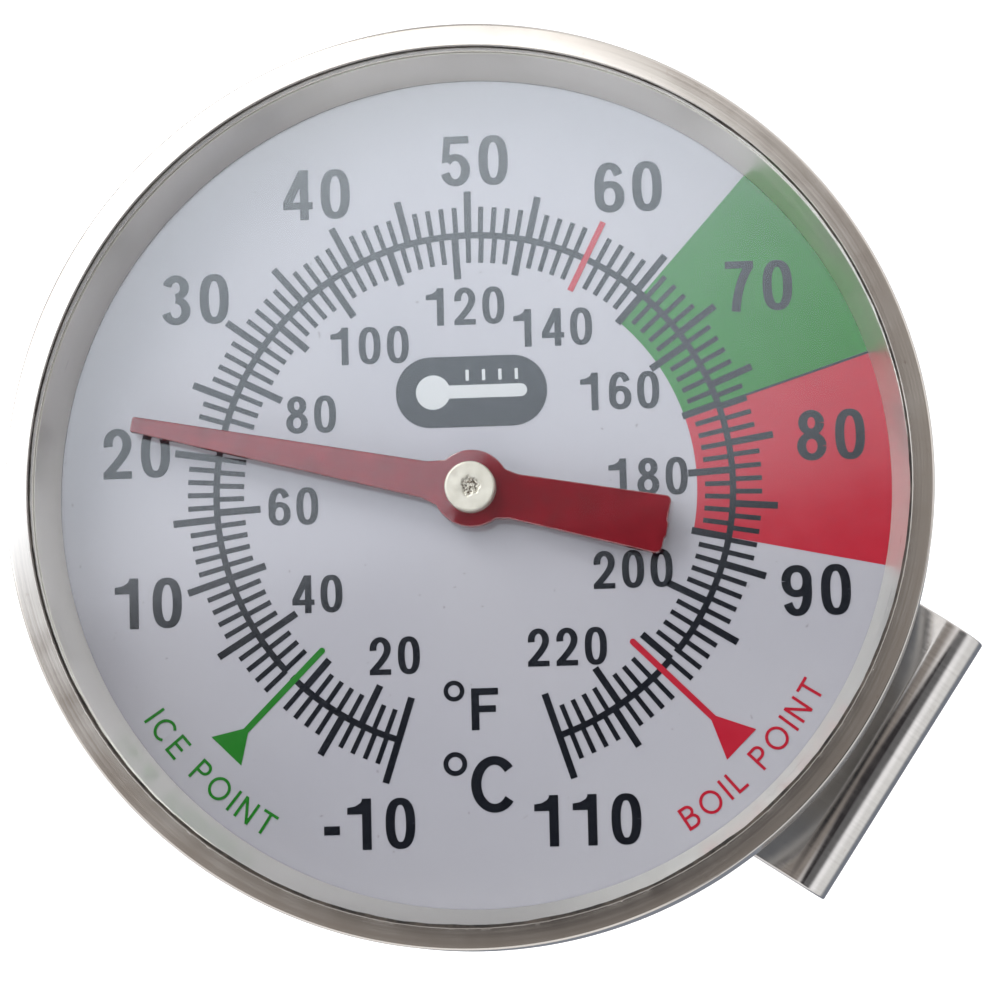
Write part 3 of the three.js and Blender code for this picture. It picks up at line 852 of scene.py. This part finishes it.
# The badge: a plain pill that carries a bulb and a column with four short marks beside it.
BADGE_HEIGHT = 5.5
badge_plate = [rounded_box(4.15, 1.95, 1.9, 10, BADGE_HEIGHT)]
BULB_X, COLUMN_END, COLUMN_HALF = -2.1, 2.7, 0.36
MARK_START, MARK_STEP, MARK_WIDTH = -0.3, 0.9, 0.18
badge_sign = (
    disc(BULB_X, BADGE_HEIGHT, 0.95)
    + bar(BULB_X, BADGE_HEIGHT - COLUMN_HALF, COLUMN_END, BADGE_HEIGHT + COLUMN_HALF)
    + disc(COLUMN_END, BADGE_HEIGHT, COLUMN_HALF)
)
for step in range(4):
    left = MARK_START + step * MARK_STEP
    badge_sign += bar(left, BADGE_HEIGHT + 0.6, left + MARK_WIDTH, BADGE_HEIGHT + 1.2)

# Print stands proud of the dial by its thickness in mm, thicker where one ink lies over another.
ZONE_INK, BORDER_INK, SCALE_INK, MARK_INK, SIGN_INK = 0.010, 0.014, 0.024, 0.030, 0.032
CAPTION_HEIGHT, CAPTION_RADIUS = 1.3, 21.95
border = [spoke_bar(fahrenheit_angle(GREEN_TO_F), ZONE_INNER, ZONE_OUTER, 0.12, 0.06)]
red_line = spoke_bar(dial_angle(RED_LINE_C), 12.2, 16.4, 0.33)
ice, boil = dial_angle(ICE_C), dial_angle(BOIL_C)
ice_caption = curved_word("ICE POINT", CAPTION_HEIGHT, CAPTION_RADIUS, ice + 0.01)
boil_caption = curved_word("BOIL POINT", CAPTION_HEIGHT, CAPTION_RADIUS, boil)
printed("zone_green", [zone(GREEN_FROM_F, GREEN_TO_F, 0.006)], ZONE_INK, GREEN_INK, "print_green")
printed("zone_red", [zone(GREEN_TO_F, RED_TO_F)], ZONE_INK, RED_INK, "print_red")
printed("zone_border", border, BORDER_INK, BLACK_INK, "print_black")
printed("scale_black", [ticks], SCALE_INK, BLACK_INK, "print_black")
printed("figures_black", figures + [badge_plate], SCALE_INK, BLACK_INK, "print_black")
printed("badge_sign", [badge_sign], SIGN_INK, WHITE_INK, "dial_white")
printed("ice_mark", [test_mark(ice, 19.55), ice_caption], MARK_INK, GREEN_INK, "print_green")
boil_groups = [test_mark(boil, 20.1), boil_caption, red_line]
printed("boil_mark", boil_groups, MARK_INK, RED_INK, "print_red")

# ---- the pointer


def loops_to_solid(name, loops, hole_radius, sharp):
    """A solid with a round hole, from outline loops (points, height) stacked from bottom to top."""
    bm = bmesh.new()
    sides = 48
    circle = arc(0, 0, hole_radius, 0, 360 * (sides - 1) / sides, sides - 1)
    rings = [
        [bm.verts.new((x * MM, y * MM, BACK + h * MM)) for x, y in points] for points, h in loops
    ]
    skin(bm, rings)
    holes = []
    for ring, (points, h) in ((rings[0], loops[0]), (rings[-1], loops[-1])):
        inner = [bm.verts.new((x * MM, y * MM, BACK + h * MM)) for x, y in circle]
        holes.append(inner)
        flat = [Vector(p) for p in [*points, *circle]]
        around = list(range(len(points)))
        hole = list(range(len(points), len(flat)))
        _, _, tris, source, _, origin = delaunay_2d_cdt(flat, [], [around, hole], 0, 1e-6)
        corners = [*ring, *inner]
        for tri, faces in zip(tris, origin):
            if faces == [0]:
                bm.faces.new([corners[source[i][0]] for i in tri])
    skin(bm, holes)
    return object_from_bmesh(name, bm, sharp)


def inset(points, distance):
    """The outline moved inwards by a small distance. The outline runs anticlockwise."""
    moved_in = []
    for i, point in enumerate(points):
        along = (Vector(points[(i + 1) % len(points)]) - Vector(points[i - 1])).normalized()
        moved_in.append((point[0] - along.y * distance, point[1] + along.x * distance))
    return moved_in


def pointer_outline():
    """The pointer from above with its tip on +X: a tapered arm, a round boss, and a broad tail with
    a small step in its end."""
    boss, reach, tail = 2.12, 19.05, 10.9
    arm_half, tip_half = 1.05, 0.435
    neck_half, tail_half = 1.22, 1.625
    arm_start, tail_start = boss * 0.98 + 0.55, -boss * 0.97 - 0.3
    tail_end = 0.1 - tail
    arm_angle = math.degrees(math.asin(arm_half / boss)) + 7
    neck_angle = math.degrees(math.asin(neck_half / boss)) + 6
    return rounded([
        (reach, -tip_half, 0.14), (reach, tip_half, 0.14), (arm_start, arm_half * 0.965, 1.2),
        *arc(0, 0, boss, arm_angle, 180 - neck_angle, 20),
        (tail_start, neck_half * 1.02, 0.9), (tail_end, tail_half, 0.42), (tail_end, 0.72),
        (-tail, 0.55), (-tail, -0.12), (tail_end, -0.29), (tail_end, -tail_half, 0.30),
        (tail_start, -neck_half * 1.02, 0.9),
        *arc(0, 0, boss, 180 + neck_angle, 360 - arm_angle, 20),
        (arm_start, -arm_half * 0.965, 1.2),
    ], 4)


READING_ANGLE = dial_angle(READING)
EDGE, TOP_INSET = 0.05, 0.02
outline = moved([pointer_outline()], 1, 0, 0, READING_ANGLE)[0]
blade = loops_to_solid("pointer_blade", [
    (inset(outline, 0.03), POINTER_BOTTOM),
    (outline, POINTER_BOTTOM + 0.05),
    (inset(outline, TOP_INSET), POINTER_TOP - EDGE),
    (inset(outline, TOP_INSET + EDGE * 0.3), POINTER_TOP - EDGE * 0.3),
    (inset(outline, TOP_INSET + EDGE), POINTER_TOP),
], hole_radius=1.15, sharp=20)
# The thin tail came out of its mould a little twisted.
for vertex in blade.data.vertices:
    x, y = vertex.co.x, vertex.co.y
    along = x * math.cos(READING_ANGLE) + y * math.sin(READING_ANGLE)
    across = y * math.cos(READING_ANGLE) - x * math.sin(READING_ANGLE)
    share = min(1.0, max(0.0, (0.6 * MM - along) / (3.2 * MM)))
    vertex.co.z -= share * (0.07 * MM + 0.042 * across)
finish_piece(blade, "movement", POINTER_RED, "pointer_red", "pointer")


def hub_cap():
    """A disc whose closed end was staked over the shaft, which left a rough mark."""
    segments, rings = 96, 36
    rim, edge, barrel, bore = 1.37, 0.09, 0.85, 0.45
    top = HUB_TOP - 0.05
    turns = full_turn(segments)
    bm = bmesh.new()
    rows = []
    for i in range(1, rings + 1):
        radius = (rim - edge) * i / rings
        row = []
        for turn in turns:
            place = Vector((radius * math.cos(turn), radius * math.sin(turn), 0))
            reach = 0.52 + 0.18 * noise.noise(Vector((math.cos(turn), math.sin(turn), 5)) * 1.7)
            torn = min(1.0, max(0.0, (reach - radius) / 0.10))
            ridge = 1 - 2 * abs(noise.fractal(place * 3.3 + Vector((3, 1, 7)), 0.8, 2.0, 3))
            height = top - torn * (0.02 + 0.09 * max(0.0, ridge)) + 0.012 * noise.noise(place * 1.9)
            top_of_metal = BACK + min(height, HUB_TOP) * MM
            row.append(bm.verts.new((place.x * MM, place.y * MM, top_of_metal)))
        rows.append(row)
    middle = vertex_at(bm, 0, 0, HUB_TOP - 0.2)
    for radius, height in [
        (rim - edge * 0.3, top - edge * 0.3), (rim, top - edge), (rim, POINTER_TOP + 0.05),
        (barrel, POINTER_TOP + 0.05), (barrel, POINTER_BOTTOM - 0.1),
        (bore, POINTER_BOTTOM - 0.1), (bore, POINTER_TOP + 0.3),
    ]:
        rows.append([vertex_at(bm, radius, turn, height) for turn in turns])
    inside = vertex_at(bm, 0, 0, POINTER_TOP + 0.3)
    skin(bm, rows)
    for k in range(segments):
        n = (k + 1) % segments
        bm.faces.new([middle, rows[0][k], rows[0][n]])
        bm.faces.new([rows[-1][k], inside, rows[-1][n]])
    return object_from_bmesh("hub_cap", bm, 50)


finish_piece(hub_cap(), "movement", HUB_METAL, "hub_silver", "pointer_hub")

# ---- stem, nut and seal

STEM_RADIUS, STEM_BORE, STEM_TOP = 2.0, 1.7, 3.2
weld = STEM_TIP + 0.97
plug_top = STEM_TIP + 4.25
stem = lathe("stem_probe", rounded([
    (0, STEM_TIP), (STEM_RADIUS, STEM_TIP, 0.42), (STEM_RADIUS, weld - 0.04),
    (STEM_RADIUS - 0.035, weld), (STEM_RADIUS, weld + 0.04), (STEM_RADIUS, STEM_TOP, 0.06),
    (STEM_BORE, STEM_TOP, 0.05), (STEM_BORE, plug_top), (0, plug_top),
], 6, closed=False), 96, sharp=25)
finish_piece(stem, "stem", STEM_STEEL, "stem_steel", "stem_tube", "stem_tip_plug")


def hex_nut():
    """A hexagon with turned chamfers, and the round neck above it."""
    under, high = heights("calibration_nut")
    top, face, corner, neck, bore = -1.0, 4.0, 4.575, 3.2, 2.1
    bm = bmesh.new()
    columns = []
    for turn in full_turn(180):
        wedge = turn % (math.pi / 3) - math.pi / 6
        side = min(face / math.cos(wedge), corner)
        cut_low = under + 0.72 * max(0.0, side - face + 0.02) / 0.97
        cut_high = top - 0.35 * max(0.0, side - 4.3) / 0.67
        columns.append([vertex_at(bm, radius, turn, height) for radius, height in [
            (bore + 0.12, under), (face - 0.12, under), (min(side, face - 0.02), under + 0.02),
            (side, cut_low), (side, cut_high), (min(side, 4.3), top), (neck + 0.15, top),
            (neck, top + 0.12), (neck, high - 0.25), (neck - 0.25, high), (bore + 0.08, high),
            (bore, high - 0.08), (bore, under + 0.12),
        ]])
    skin(bm, columns + columns[:1])
    return object_from_bmesh("hex_nut", bm, 22)


finish_piece(hex_nut(), "stem", NUT_STEEL, "nut_steel", "calibration_nut")

seal = lathe("neck_oring", arc(3.75, -0.5, 0.395, 0, 345, 23), 96)
finish_piece(seal, "stem", RUBBER, "seal_rubber", "neck_seal")


def coil():
    """A flat strip wound into a helix."""
    turns, per_turn = 24, 48
    radius, width, thick, pitch = 1.2, 0.8, 0.22, 1.5
    section = rounded_box(thick / 2, width / 2, 0.05, 2)
    bottom = heights("bimetal_coil")[0] + width / 2
    bm = bmesh.new()
    loops = []
    for i in range(turns * per_turn + 1):
        angle = 2 * math.pi * i / per_turn
        height = bottom + pitch * i / per_turn
        loops.append([vertex_at(bm, radius + a, angle, height + b) for a, b in section])
    skin(bm, loops, ends=True)
    return object_from_bmesh("coil_strip", bm)


strip = coil()
strip.data.materials.append(BIMETAL)
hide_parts("bimetal_coil")
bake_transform(strip)

# ---- the pan clip

CLIP_TURN = math.radians(-33.7)
CLIP_SHARP = 40


def clip_strip():
    """One bent strip: its centreline in the plane of its bends, swept with a rounded section."""
    plate, guide, roll = 124.75, 112.4, 27.35
    line = rounded([
        (4.1, guide), (-6.2, guide, 1.3), (-6.2, plate, 1.3), (16.5, plate, 8),
        (21, plate - 0.7, 5),
        (roll, plate, 1.95), (roll, plate - 4.15, 1.95), (6.6, plate - 5.3, 2),
        (6.6, plate - 25, 6), (3.4, plate - 33, 2.5), (6.4, plate - 38.5),
    ], 14, closed=False)
    line = [Vector(point) for point in line]
    width, thick = 17.0, 0.5
    section = rounded_box(thick / 2, width / 2, 0.09, 3)
    dense = []
    for a, b in zip(line, line[1:]):
        pieces = max(1, round((b - a).length / 2.0))
        dense += [a.lerp(b, i / pieces) for i in range(pieces)]
    dense.append(line[-1])
    bm = bmesh.new()
    uv = bm.loops.layers.uv.new("strip")
    loops, where, length = [], {}, 0.0
    for i, point in enumerate(dense):
        before, after = dense[max(i - 1, 0)], dense[min(i + 1, len(dense) - 1)]
        along = (after - before).normalized()
        across = Vector((-along.y, along.x))
        length += (point - before).length
        loops.append([])
        for t, w in section:
            x, z = point.x + across.x * t, point.y + across.y * t
            vert = bm.verts.new((x * MM, w * MM, z * MM))
            where[vert] = (length, w)
            loops[-1].append(vert)
    skin(bm, loops, ends=True)
    for face in bm.faces:
        for corner in face.loops:
            corner[uv].uv = where[corner.vert]
    bmesh.ops.rotate(bm, verts=bm.verts, matrix=Matrix.Rotation(CLIP_TURN, 3, "Z"))
    return object_from_bmesh("clip_band", bm, CLIP_SHARP)


def cut_hole(piece, radius, low, high):
    """Cuts a round hole along the stem's axis through the two plates of the clip."""
    bm = bmesh.new()
    bmesh.ops.create_cone(
        bm, cap_ends=True, segments=64, radius1=radius * MM, radius2=radius * MM,
        depth=(high - low) * MM, matrix=Matrix.Translation((0, 0, (low + high) / 2 * MM)),
    )
    cutter = object_from_bmesh("cutter", bm)
    cut = piece.modifiers.new("hole", "BOOLEAN")
    cut.operation, cut.solver, cut.object = "DIFFERENCE", "EXACT", cutter
    graph = bpy.context.evaluated_depsgraph_get()
    result = bpy.data.meshes.new_from_object(piece.evaluated_get(graph))
    piece.modifiers.clear()
    piece.data = result
    bpy.data.objects.remove(cutter)
    smooth(piece.data, CLIP_SHARP)


HOLE_RADIUS, CUT_FROM, CUT_TO = 2.3, 109.0, 128.0
clip = clip_strip()
cut_hole(clip, HOLE_RADIUS, CUT_FROM, CUT_TO)
clip.data.materials.clear()
finish_piece(clip, "clip", CLIP_STEEL, "clip_steel", "pan_clip")

# ---- floor, light and camera


def floor():
    """Plain and pale; metal mirrors it with a painted shadow close under the thermometer."""
    bm = bmesh.new()
    bmesh.ops.create_grid(bm, x_segments=1, y_segments=1, size=3.0)
    ground = object_from_bmesh("floor", bm)
    s = Material("floor_pale")
    cloud = s.noise(s.place, 0.004, 3.0, 0.5)
    colour = s.mix(cloud, (0.93, 0.93, 0.93), (0.95, 0.95, 0.95))
    pale = s.principled(Base_Color=colour, Roughness=0.9, Emission_Color=(1.0, 1.0, 1.0),
                        Emission_Strength=0.35)
    distance = s.add("VectorMath", {0: s.place}, operation="LENGTH").outputs["Value"]
    # Painted shadow of the thermometer, which only reflections see.
    painted_shadow = s.mix(s.spread(distance, 150, 250), (0.22, 0.24, 0.28), (0.90, 0.90, 0.90))
    mirrored = s.add("Emission", {"Color": painted_shadow}).outputs[0]
    glossy = s.add("LightPath").outputs["Is Glossy Ray"]
    surface = s.add("MixShader", {0: glossy, 1: pale, 2: mirrored}).outputs[0]
    ground.data.materials.append(s.done(surface))


floor()


# How bright the window is from its sill upwards: a sharp edge, a haze, and its brightest part.
WINDOW = [
    (0.112, (0.0, 0.0, 0.0)), (0.1175, (1.05, 1.10, 1.22)), (0.15, (1.12, 1.25, 1.40)),
    (0.18, (1.45, 1.62, 1.82)), (0.205, (2.1, 2.3, 2.55)), (0.26, (3.0, 3.15, 3.3)),
    (0.40, (1.5, 1.5, 1.5)), (0.55, (0.55, 0.54, 0.53)), (1.0, (0.35, 0.34, 0.33)),
]


def sky():
    """A soft studio surround: a bright window beyond the top and left of the dial, pale walls, a
    ceiling that is darkest overhead and towards the clip, and a pale band near the floor."""
    world = bpy.data.worlds.new("studio")
    world.use_nodes = True
    bpy.context.scene.world = world
    s = Shader(world.node_tree)
    direction = s.add("TexCoord").outputs["Generated"]
    x, y, z = s.add("SeparateXYZ", {0: direction}).outputs

    lean = s.math("ADD", s.times(x, -0.16), s.times(y, 0.987))
    bright = s.add("ValToRGB", {"Fac": lean})
    ramp = bright.color_ramp
    while len(ramp.elements) < len(WINDOW):
        ramp.elements.new(0.5)
    for element, (position, colour) in zip(ramp.elements, WINDOW):
        element.position, element.color = position, (*colour, 1)
    window = s.mix(s.spread(x, -0.03, 0.07), bright.outputs[0], (0.0, 0.0, 0.0))

    away = s.from_axis(s.math("ADD", x, 0.03), y)
    ceiling = s.mix(s.spread(away, 0.12, 0.26), (0.018, 0.018, 0.022), (0.31, 0.28, 0.26))
    ceiling = s.mix(s.spread(away, 0.38, 0.60), ceiling, (1.10, 1.08, 1.08))
    ahead = s.math("SUBTRACT", s.times(x, 0.83), s.times(y, 0.55))
    beside = s.math("ABSOLUTE", s.math("ADD", s.times(x, 0.55), s.times(y, 0.83)))
    corner = s.math("SUBTRACT", ahead, s.times(beside, 0.9))
    ceiling = s.mix(s.spread(corner, 0.20, 0.34), ceiling, (0.040, 0.037, 0.040))

    near_floor = s.mix(s.spread(z, 0.30, 0.46), (1.0, 1.0, 1.02), ceiling)
    behind = s.times(s.spread(lean, 0.45, 0.60), s.spread(x, -0.03, 0.07, 1.0, 0.0))
    walls = s.mix(behind, near_floor, (0.08, 0.08, 0.08))
    both = s.mix(1.0, walls, window, blend="ADD")
    background = s.add("Background", {"Color": both, "Strength": 1.0}).outputs[0]
    s.add("OutputWorld", {"Surface": background})


sky()


def softbox(name, place, target, size, power, colour):
    lamp = bpy.data.lights.new(name, "AREA")
    lamp.shape, lamp.size, lamp.size_y = "RECTANGLE", size[0], size[1]
    lamp.energy, lamp.color = power, colour
    lamp_object = bpy.data.objects.new(name, lamp)
    bpy.context.scene.collection.objects.link(lamp_object)
    lamp_object.location = place
    beam = Vector(target) - Vector(place)
    lamp_object.rotation_euler = beam.to_track_quat("-Z", "Y").to_euler()


HEAD = (0, 0, BACK + DIAL_TOP * MM)
softbox("key", (-0.30, 0.42, 0.52), HEAD, (0.30, 0.30), 1.6, (1.0, 0.99, 0.97))
softbox("fill", (0.50, -0.30, 0.40), HEAD, (0.5, 0.5), 0.1, (0.96, 0.98, 1.0))


def camera():
    """Above the dial, a little to its right and towards its foot."""
    data = bpy.data.cameras.new("camera")
    data.sensor_width, data.lens = 36.0, 160.2
    data.clip_start, data.clip_end = 0.01, 20
    eye = bpy.data.objects.new("camera", data)
    bpy.context.scene.collection.objects.link(eye)
    bpy.context.scene.camera = eye
    away = Vector((0.085, -0.115, 0.99)).normalized()
    distance, roll = 0.243, math.radians(-1.3)
    dial_centre = Vector(HEAD)
    eye.location = dial_centre + away * distance
    upright = Matrix.Rotation(roll, 3, away) @ Vector((0, 1, 0))
    right = upright.cross(away).normalized()
    up = away.cross(right)
    # The middle of the frame lies between the head and the clip.
    target = dial_centre + right * 1.43 * MM - up * 0.46 * MM
    back = (eye.location - target).normalized()
    right = upright.cross(back).normalized()
    facing = Matrix((right, back.cross(right), back)).transposed().to_4x4()
    eye.matrix_world = Matrix.Translation(eye.location) @ facing


camera()
bpy.context.scene.view_settings.view_transform = "Standard"
